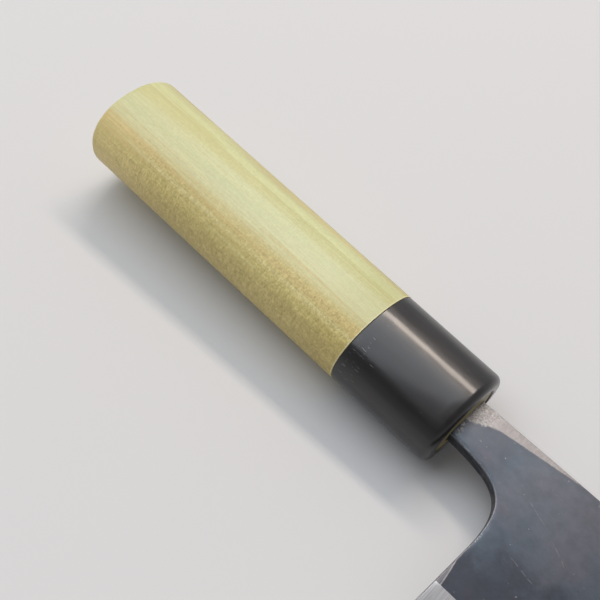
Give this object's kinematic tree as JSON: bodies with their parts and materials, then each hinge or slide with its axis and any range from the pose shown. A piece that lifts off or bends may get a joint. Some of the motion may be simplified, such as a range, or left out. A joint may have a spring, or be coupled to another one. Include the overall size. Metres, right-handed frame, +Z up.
{
  "type": "nakiri knife",
  "caption": "Vegetable knife with a tall square-tipped forged blade, dark scale faces, bright ground bevel, oval pale wood grip and black horn ferrule; lies on its left side.",
  "frame": {"origin": "on the table, under the middle of the knife's box as it lies on its left side", "axes": "+X from the butt to the tip, +Y from the cutting edge to the spine, +Z up, out of the blade's right face"},
  "size_m": [0.2994, 0.0588, 0.027],
  "materials": {
    "forged_iron": "satin black forge scale, mottled, with bright wear on edges and a ground bevel",
    "bright_steel": "finely ground, grinding lines square to the edge",
    "pale_wood": "sanded and waxed, soft sheen, grain along the handle",
    "black_horn": "polished"
  },
  "bodies": {
    "root": {"right_cladding": "forged_iron", "left_cladding": "forged_iron", "core_steel": "bright_steel", "grip": "pale_wood", "ferrule": "black_horn"}
  },
  "joints": []
}
